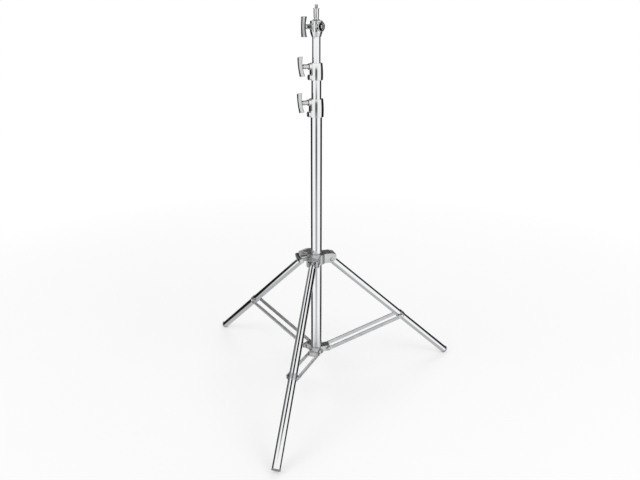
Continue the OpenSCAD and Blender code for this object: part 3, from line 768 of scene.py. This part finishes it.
def cross_bar(span, depth, thickness):
    """A cross bar along Z: its outer face, at +X, is bowed, its waist is drawn in and its ends are flat."""
    mesh = bpy.data.meshes.new("cross_bar")
    shape = bmesh.new()
    stations, around = 44, 36
    half, bow, hollow, edge = span / 2, 2.1 * MM, 4.2 * MM, 1 * MM
    rings = []
    for k in range(1, stations):
        height = -half * math.cos(math.pi * k / stations)
        share_out = height / half
        end_round = 0.85 + 0.15 * min(1.0, (half - abs(height)) / edge) ** 0.5
        outer = depth / 2 - bow * share_out ** 2
        inner = -depth / 2 + hollow * (1 - share_out ** 2)
        half_x = (outer - inner) / 2 * end_round
        half_y = thickness / 2 * (0.78 + 0.22 * share_out ** 2) * end_round
        ring = []
        for i in range(around):
            turn = 2 * math.pi * i / around
            c, q = math.cos(turn), math.sin(turn)
            square = (abs(c) ** 4 + abs(q) ** 4) ** -0.25
            ring.append(shape.verts.new(((outer + inner) / 2 + half_x * c * square, half_y * q * square,
                                         height)))
        rings.append(ring)
    for ring, after in zip(rings, rings[1:]):
        for i in range(around):
            j = (i + 1) % around
            shape.faces.new((ring[i], ring[j], after[j], after[i]))
    for ring, tip in ((rings[0], -half), (rings[-1], half)):
        centre = sum((v.co for v in ring), Vector()) / around
        pole = shape.verts.new((centre.x, centre.y, tip))
        for i in range(around):
            shape.faces.new((ring[i], ring[(i + 1) % around], pole))
    bmesh.ops.recalc_face_normals(shape, faces=shape.faces)
    shape.to_mesh(mesh)
    shape.free()
    return mesh


class STAND_OT_handles(bpy.types.Operator):
    """Mould the four clamp handles: a waisted cross bar blended into a flared neck"""
    bl_idname = "stand.handles"
    bl_label = "Clamp handles"

    def execute(self, context):
        turning = {"lower_handle": ("lower_clamp_turn", 15), "upper_handle": ("upper_clamp_turn", 15),
                   "head_handle": ("head_clamp_turn", 0), "spider_handle": ("leg_collar_clamp_turn", 90)}
        for node, (joint, lean) in turning.items():
            self.make_handle(node, *along_joint(node, joint), math.radians(lean))
        return {"FINISHED"}

    def make_handle(self, node, origin, axis, start, stop, lean):
        """A handle from start to stop along its screw's axis, its cross bar leaned from upright."""
        out = axis.to_track_quat("X", "Z").to_matrix().to_4x4() @ Matrix.Rotation(lean, 4, "X")
        span, thickness = (2 * reach(node, origin, out @ side)[1] for side in (Vector((0, 0, 1)), Vector((0, 1, 0))))
        clear = 9 * MM
        inner = min((p - origin).dot(axis) for p in corners(node) if (p - origin).cross(axis).length > clear)
        depth = stop - inner
        neck_r, bore_r, edge = 7 * MM, 4.05 * MM, 0.6 * MM
        bar = moved(cross_bar(span, depth, thickness), Matrix.Translation((stop - depth / 2, 0, 0)))
        outline = [(bore_r, start), (neck_r - edge, start), (neck_r, start + edge), (neck_r, inner + 2 * MM),
                   (0.4 * neck_r, stop - depth / 2 + 2 * MM), (0, stop - depth / 2 + 2 * MM),
                   (0, stop - depth / 2 - 1 * MM), (bore_r, stop - depth / 2 - 1 * MM)]
        neck = moved(lathe(outline, 48), frame_along((0, 0, 0), (1, 0, 0)))
        piece = fused(new_object(f"{node}_finished", joined(bar, neck)), 0.45 * MM, 7, 0.45)
        moved(piece.data, Matrix.Translation(origin) @ out)
        finish_piece(piece, node, "chromed_handle")


class STAND_OT_spigot(bpy.types.Operator):
    """Turn the stud with its shoulder, waist, lip and threaded tip"""
    bl_idname = "stand.spigot"
    bl_label = "Stud"

    def execute(self, context):
        sizes = context.scene.stand_sizes
        low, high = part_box("spigot")
        tip_h, lip_h, plain_h, edge = 11 * MM, 2 * MM, 32 * MM, 0.4 * MM
        body_r, lip_r, waist_r, core_r, shoulder_r = 8 * MM, 9.5 * MM, 7 * MM, 4.7 * MM, (high.x - low.x) / 2
        tip = high.z - tip_h
        plain_top = tip - lip_h
        seat = plain_top - plain_h
        waist = seat + 6 * MM
        bow = waist - seat - 2.2 * MM
        outline = [(0, low.z), (body_r - 1 * MM, low.z), (body_r, low.z + 1 * MM), (body_r, seat)]
        outline += arc(shoulder_r - edge, seat + edge, edge, -90, 0) + arc(shoulder_r - edge, seat + 1.6 * MM, edge,
                                                                          0, 90)
        outline += arc(waist_r + bow, waist, bow, -90, -180, 8)
        outline += [(waist_r, waist + 1.2 * MM), (body_r - edge, waist + 2 * MM), (body_r, waist + 2 * MM + edge)]
        outline += [(body_r, plain_top - 0.6 * MM), (body_r + 0.3 * MM, plain_top)]
        outline += arc(lip_r - edge, plain_top + edge, edge, -90, 0) + arc(lip_r - edge, tip - edge, edge, 0, 90)
        outline += [(core_r, tip), (core_r - sizes.thread_depth, tip + edge), (0, tip + edge)]
        thread = threaded_rod(4.75 * MM, tip_h, sizes.stud_pitch, "bright_fastener")
        whole = joined(lathe(outline), moved(thread, Matrix.Translation((0, 0, tip))))
        finish_mesh("spigot", sharpen(whole, 38), "bright_fastener")
        return {"FINISHED"}


class STAND_OT_clamp_screws(bpy.types.Operator):
    """Thread the four clamp screws"""
    bl_idname = "stand.clamp_screws"
    bl_label = "Clamp screws"

    def execute(self, context):
        turning = {"lower_clamp_screw": "lower_clamp_turn", "upper_clamp_screw": "upper_clamp_turn",
                   "head_clamp_screw": "head_clamp_turn", "spider_clamp_screw": "leg_collar_clamp_turn"}
        for node, joint in turning.items():
            origin, axis, start, stop = along_joint(node, joint)
            mesh = threaded_rod(4 * MM, stop - start, context.scene.stand_sizes.thread_pitch, "clamp_screw")
            moved(mesh, frame_along(origin + start * axis, axis))
            finish_mesh(node, sharpen(mesh, 60), "clamp_screw")
        return {"FINISHED"}


def socket_screw(start, stop, head_h, head_r, shank_r, socket_half):
    """A cap screw along +Z, its hexagon socket at stop; a head no wider than the shank makes a set screw."""
    edge, deep = 0.4 * MM, 2.6 * MM
    under = stop - head_h
    cap = 2 * socket_half
    outline = [(0, start), (shank_r - 0.8 * MM, start), (shank_r, start + 0.8 * MM), (shank_r, under)]
    outline += arc(head_r - edge, under + edge, edge, -90, 0, 3) + arc(head_r - edge, stop - edge, edge, 0, 90, 3)
    outline += [(socket_half + 0.3 * MM, stop, cap), (socket_half, stop - 0.3 * MM, cap),
                (socket_half, stop - deep, cap), (0, stop - deep - 0.6 * MM)]
    return sharpen(lathe(outline), 38)


class STAND_OT_fixing_screws(bpy.types.Operator):
    """Make the socket screws that fix the collars and the hub, and the head's cross pin"""
    bl_idname = "stand.fixing_screws"
    bl_label = "Fixing screws"

    def execute(self, context):
        screws = {"lower_fixing_screw": (5.4, 5, 3, 2.5), "upper_fixing_screw": (5.4, 5, 3, 2.5),
                  "hub_fixing_screw": (1.0, 3, 2.6, 1.5)}
        for node, (head_h, head_r, shank_r, socket_half) in screws.items():
            centre = middle(node)
            axis = Vector((centre.x, centre.y, 0)).normalized()
            origin = Vector((0, 0, centre.z))
            start, stop = reach(node, origin, axis)
            mesh = socket_screw(start, stop, head_h * MM, head_r * MM, shank_r * MM, socket_half * MM)
            moved(mesh, frame_along(origin, axis))
            finish_mesh(node, mesh, "black_screw")
        self.make_pin()
        return {"FINISHED"}

    def make_pin(self):
        """The cross pin: a rolled pin with chamfered ends."""
        low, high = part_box("head_pin")
        centre, turn = middle("head_pin"), JOINTS["head_clamp_turn"]["axis"]
        axis = Vector((-turn[1], turn[0], 0)).normalized()
        start, stop = reach("head_pin", centre, axis)
        radius, bore, edge = (high.z - low.z) / 2, 0.9 * MM, 0.5 * MM
        outline = [(bore, start), (radius - edge, start), (radius, start + edge), (radius, stop - edge),
                   (radius - edge, stop), (bore, stop)]
        mesh = moved(sharpen(lathe(outline, 48), 38), frame_along(centre, axis))
        finish_mesh("head_pin", mesh, "black_screw")


def pivot_bolt(low, high, thread_start):
    """A button-head bolt along +Z, its head at low and its thread up to high."""
    head_r, head_h, shank_r, socket_half, deep = 5 * MM, 3.2 * MM, 3 * MM, 2 * MM, 1.9 * MM
    under = low + head_h
    dome = [(head_r * math.cos(math.radians(t)), low + 1.2 * MM * (1 - math.sin(math.radians(t))))
            for t in (60, 45, 30, 15, 0)]
    outline = [(0, low + deep + 0.4 * MM), (socket_half, low + deep, 2 * socket_half),
               (socket_half, low + 0.2 * MM, 2 * socket_half), (socket_half + 0.2 * MM, low, 2 * socket_half)]
    outline += dome + [(head_r, under - 0.3 * MM), (head_r - 0.3 * MM, under), (shank_r, under)]
    outline += [(shank_r, thread_start), (0, thread_start)]
    thread = threaded_rod(shank_r, high - thread_start, 1 * MM, "bright_fastener")
    return sharpen(joined(lathe(outline), moved(thread, Matrix.Translation((0, 0, thread_start)))), 38)


def hexagon_nut(low, high, half_flats, bore_r):
    """A nut along +Z with turned-down corners."""
    corner, rise, edge = half_flats / math.cos(math.pi / 6), 0.9 * MM, 0.5 * MM
    washer_r = half_flats * 0.96
    outline = [(bore_r + edge, low), (washer_r, low), (half_flats, low + 0.3 * rise, half_flats * 1.02),
               (half_flats, low + rise, corner), (half_flats, high - rise, corner),
               (half_flats, high - 0.3 * rise, half_flats * 1.02), (washer_r, high), (bore_r + edge, high),
               (bore_r, high - edge), (bore_r, low + edge)]
    return sharpen(lathe(outline), 38)


class STAND_OT_pivot_bolts(bpy.types.Operator):
    """Make the bolts and nuts of the leg collar and the hub, each a ring of three"""
    bl_idname = "stand.pivot_bolts"
    bl_label = "Pivot bolts and nuts"

    def execute(self, context):
        pivots = {"leg": JOINTS["front_leg_fold"], "hub": JOINTS["front_brace_fold"]}
        for place, joint in pivots.items():
            origin, axis = Vector(joint["pos_m"]), Vector((1, 0, 0))
            near = 8 * MM
            low, high = reach(f"{place}_bolts", origin, axis, near)
            nut_low, nut_high = reach(f"{place}_nuts", origin, axis, near)
            bolt = moved(pivot_bolt(low, high, nut_low - 3 * MM), frame_along(origin, axis))
            nut = moved(hexagon_nut(nut_low, nut_high, 4.85 * MM, 3.05 * MM), frame_along(origin, axis))
            for kind, mesh in (("bolts", bolt), ("nuts", nut)):
                node = f"{place}_{kind}"
                finish_mesh(node, ringed(mesh, len(LEGS), "bright_fastener"), "bright_fastener")
        return {"FINISHED"}


class STAND_OT_legs(bpy.types.Operator):
    """Make the three leg tubes and round their bands and rubber feet"""
    bl_idname = "stand.legs"
    bl_label = "Legs"

    def execute(self, context):
        for name, azimuth in LEGS.items():
            down = outward(azimuth) @ Vector((1, 0, -1))
            tube_piece(f"{name}_leg_tube", "leg_tube", down)
            rounded_casting(f"{name}_bracket", "bracket_metal", grid=0.4 * MM, passes=4)
            rounded_casting(f"{name}_foot", "foot_rubber", grid=0.5 * MM, passes=6)
        return {"FINISHED"}


class STAND_OT_braces(bpy.types.Operator):
    """Round the six grooved brace bars and set their domed rivets"""
    bl_idname = "stand.braces"
    bl_label = "Braces"

    def execute(self, context):
        for name, azimuth in LEGS.items():
            for side in ("near", "far"):
                rounded_casting(f"{name}_brace_{side}", "brace_steel", grid=0.5 * MM, passes=3)
            self.make_rivets(name, azimuth)
        return {"FINISHED"}

    def make_rivets(self, name, azimuth):
        """A pair of rivets across the leg, each with a domed head on its brace."""
        node = f"{name}_brace_rivets"
        centre, across = middle(node), outward(azimuth) @ Vector((0, 1, 0))
        stop = reach(node, centre, across)[1]
        head_h, head_r, shank_r = 1.8 * MM, 5 * MM, 3 * MM
        under = stop - head_h
        start = under - 3.5 * MM
        dome = [(head_r * math.cos(math.radians(t)), under + 0.3 * MM
                 + (head_h - 0.3 * MM) * math.sin(math.radians(t))) for t in range(0, 90, 10)]
        outline = [(0, start), (shank_r, start), (shank_r, under), (head_r, under)] + dome + [(0, stop)]
        rivet = moved(sharpen(lathe(outline, 64), 38), frame_along((0, 0, 0), (1, 0, 0)))
        pair = ringed(rivet, 2, "bright_fastener")
        turn = Matrix.Translation(centre) @ outward(azimuth) @ Matrix.Rotation(math.radians(90), 4, "Z")
        finish_mesh(node, moved(pair, turn), "bright_fastener")


class STAND_OT_inner_pieces(bpy.types.Operator):
    """Give the liners, glides, washers, shoes and plugs their finishes"""
    bl_idname = "stand.inner_pieces"
    bl_label = "Liners, shoes and plugs"

    def execute(self, context):
        finish_cad(("lower_liner", "upper_liner", "spider_liners", "leg_washers", "lower_riser_glide",
                    "upper_riser_glide"), "nylon")
        finish_cad(("lower_shoe", "upper_shoe", "spider_shoe"), "brass_shoe")
        finish_cad([f"{name}_leg_plug" for name in LEGS], "black_plastic")
        rounded_casting("base_plug", "black_plastic", grid=0.7 * MM, passes=4)
        return {"FINISHED"}


def mirrored_room(kit, direction, studio):
    """The light that polished metal finds in a direction: dark screens stand to the left and right and, higher up,
    behind; a dark strip hangs overhead, the ground is grey, and the room is dim straight in front."""
    ahead = outward(math.degrees(studio.camera_azimuth)) @ Vector((1, 0, 0))
    side = Vector((-ahead.y, ahead.x, 0))
    level = kit.add("ShaderNodeVectorMath", {0: direction, 1: (1, 1, 0)}, operation="MULTIPLY").outputs[0]
    unit = kit.add("ShaderNodeVectorMath", {0: level}, operation="NORMALIZE").outputs[0]
    facing = kit.add("ShaderNodeVectorMath", {0: unit, 1: ahead}, operation="DOT_PRODUCT").outputs["Value"]
    aside = kit.add("ShaderNodeVectorMath", {0: direction, 1: side}, operation="DOT_PRODUCT").outputs["Value"]
    turned = kit.math("MULTIPLY_ADD", facing, 0.5, 0.5)
    rise = kit.add("ShaderNodeSeparateXYZ", {0: direction}).outputs["Z"]
    up = kit.math("MULTIPLY_ADD", rise, 0.5, 0.5)
    dark, front, ground = studio.screen_level, studio.front_level, studio.ground_level
    in_front = kit.ramp(turned, [(0.0, 0.0), (0.955, 0.0), (0.992, 1.0)])
    front_light = kit.ramp(up, [(0.0, 1.0), (0.36, 3 * front), (0.45, front), (1.0, front)])
    screens = kit.ramp(turned, [(0.0, 1.0), (0.05, 1.0), (0.11, dark), (0.5, dark), (0.63, 1.0)])
    low = kit.between(in_front, screens, front_light)
    high = kit.ramp(turned, [(0.0, dark), (0.5, dark), (0.63, 1.0)])
    left = kit.ramp(kit.math("MULTIPLY_ADD", aside, 0.5, 0.5), [(0.0, 0.2), (0.42, 0.2), (0.52, 0.0)])
    sky = kit.between(kit.ramp(up, [(0.505, 0.0), (0.555, 1.0)]), low, kit.math("MAXIMUM", high, left))
    strip = kit.ramp(kit.math("ABSOLUTE", aside), [(0.0, dark), (0.26, dark), (0.42, 1.0)])
    sky = kit.between(kit.ramp(up, [(0.83, 0.0), (0.87, 1.0)]), sky, strip)
    return kit.between(kit.ramp(up, [(0.15, 1.0), (0.22, 0.0)]), sky, ground)


class STAND_OT_studio(bpy.types.Operator):
    """Lay the floor, and set the lamps, the room light and the camera"""
    bl_idname = "stand.studio"
    bl_label = "Studio"

    def execute(self, context):
        studio = context.scene.stand_studio
        self.lay_floor(studio)
        self.light_room(context, studio)
        self.hang_lamps(studio)
        self.set_camera(context, studio)
        context.scene.view_settings.view_transform = "Standard"
        return {"FINISHED"}

    def lay_floor(self, studio):
        """A pale floor that keeps the stand's soft shadow and fades into the white room."""
        half = studio.floor_size / 2
        mesh = bpy.data.meshes.new("studio_floor")
        mesh.from_pydata([(-half, -half, 0), (half, -half, 0), (half, half, 0), (-half, half, 0)], [],
                         [(0, 1, 2, 3)])
        paper = bpy.data.materials.new("studio_paper")
        paper.use_nodes = True
        kit = NodeTree(paper.node_tree)
        place = kit.add("ShaderNodeTexCoord").outputs["Object"]
        away = kit.add("ShaderNodeVectorMath", {0: place}, operation="LENGTH").outputs["Value"]
        far = kit.add("ShaderNodeMapRange", {"Value": away, "From Min": 0.7, "From Max": 2.2, "To Min": 0.5,
                                             "To Max": 1.0}).outputs["Result"]
        shown = kit.math("MULTIPLY", kit.add("ShaderNodeLightPath").outputs["Is Camera Ray"], far)
        glow = kit.add("ShaderNodeEmission", {"Strength": 1.0})
        matt = kit.add("ShaderNodeBsdfDiffuse", {"Color": (0.9, 0.9, 0.9, 1)})
        mix = kit.add("ShaderNodeMixShader", {0: shown, 1: matt.outputs[0], 2: glow.outputs[0]})
        kit.add("ShaderNodeOutputMaterial", {"Surface": mix.outputs[0]})
        mesh.materials.append(paper)
        floor = new_object("studio_floor", mesh)
        floor.visible_glossy = False

    def light_room(self, context, studio):
        """Plain light from all round; polished metal also shows the room's screens, ceiling and ground."""
        world = bpy.data.worlds.new("studio_room")
        context.scene.world = world
        world.use_nodes = True
        kit = NodeTree(world.node_tree)
        shown = mirrored_room(kit, kit.add("ShaderNodeTexCoord").outputs["Generated"], studio)
        path = kit.add("ShaderNodeLightPath")
        mirrored = kit.math("MAXIMUM", path.outputs["Is Glossy Ray"], path.outputs["Is Transmission Ray"])
        seen = path.outputs["Is Camera Ray"]
        unseen = kit.math("SUBTRACT", 1.0, kit.math("MAXIMUM", mirrored, seen))
        strength = kit.math("MULTIPLY_ADD", unseen, studio.room_light, seen)
        strength = kit.math("MULTIPLY_ADD", mirrored, shown, strength)
        back = kit.add("ShaderNodeBackground", {"Color": (1, 1, 1, 1), "Strength": strength})
        kit.add("ShaderNodeOutputWorld", {"Surface": back.outputs[0]})

    def hang_lamps(self, studio):
        """Two large soft lamps in front and one behind, aimed at the middle of the stand."""
        low, high = CAD_BOX
        aim = (low + high) / 2
        for name, azimuth, rise, side in (("left", -50, 2.2, 1.6), ("right", 62, 1.9, 1.6), ("back", 175, 2.6, 1.8)):
            lamp = bpy.data.lights.new(f"lamp_{name}", "AREA")
            lamp.shape, lamp.size, lamp.energy = "SQUARE", side, studio.lamp_power
            place = bpy.data.objects.new(f"lamp_{name}", lamp)
            spot = outward(azimuth) @ Vector((2.3, 0, rise))
            place.location = spot
            place.rotation_euler = (spot - aim).to_track_quat("Z", "Y").to_euler()
            place.visible_glossy = False
            bpy.context.scene.collection.objects.link(place)

    def set_camera(self, context, studio):
        """A level-standing camera that looks slightly down at the column."""
        lens = bpy.data.cameras.new("camera")
        lens.sensor_width, lens.lens = 36.0, studio.lens
        lens.shift_x, lens.shift_y = studio.shift_x, studio.shift_y
        camera = bpy.data.objects.new("camera", lens)
        out = outward(math.degrees(studio.camera_azimuth)) @ Vector((studio.camera_distance, 0, 0))
        camera.location = (out.x, out.y, studio.camera_height)
        camera.rotation_euler = (math.pi / 2 - studio.camera_tilt, 0, studio.camera_azimuth)
        context.scene.collection.objects.link(camera)
        context.scene.camera = camera


STEPS = (STAND_OT_column, STAND_OT_collars, STAND_OT_leg_collar, STAND_OT_handles, STAND_OT_spigot,
         STAND_OT_clamp_screws, STAND_OT_fixing_screws, STAND_OT_pivot_bolts, STAND_OT_legs, STAND_OT_braces,
         STAND_OT_inner_pieces, STAND_OT_studio)


class STAND_PT_panel(bpy.types.Panel):
    """The stand's finishes, sizes and steps"""
    bl_label = "Lighting stand"
    bl_idname = "STAND_PT_panel"
    bl_space_type = "VIEW_3D"
    bl_region_type = "UI"
    bl_category = "Stand"

    def draw(self, context):
        layout, scene = self.layout, context.scene
        for title, group in (("Finishes", scene.stand_finishes), ("Sizes", scene.stand_sizes),
                             ("Studio", scene.stand_studio)):
            box = layout.box()
            box.label(text=title)
            for key in group.__annotations__:
                box.prop(group, key)
        for step in STEPS:
            layout.operator(step.bl_idname)


CLASSES = (StandFinishes, StandSizes, StandStudio) + STEPS + (STAND_PT_panel,)


def register():
    """Registers the classes and their settings."""
    for kind in CLASSES:
        bpy.utils.register_class(kind)
    bpy.types.Scene.stand_finishes = bpy.props.PointerProperty(type=StandFinishes)
    bpy.types.Scene.stand_sizes = bpy.props.PointerProperty(type=StandSizes)
    bpy.types.Scene.stand_studio = bpy.props.PointerProperty(type=StandStudio)


def unregister():
    """Removes the settings and the classes."""
    for key in ("stand_finishes", "stand_sizes", "stand_studio"):
        delattr(bpy.types.Scene, key)
    for kind in reversed(CLASSES):
        bpy.utils.unregister_class(kind)


def main():
    """Makes every piece and the studio."""
    register()
    for step in STEPS:
        group, call = step.bl_idname.split(".")
        getattr(getattr(bpy.ops, group), call)()


if __name__ == "__main__":
    main()
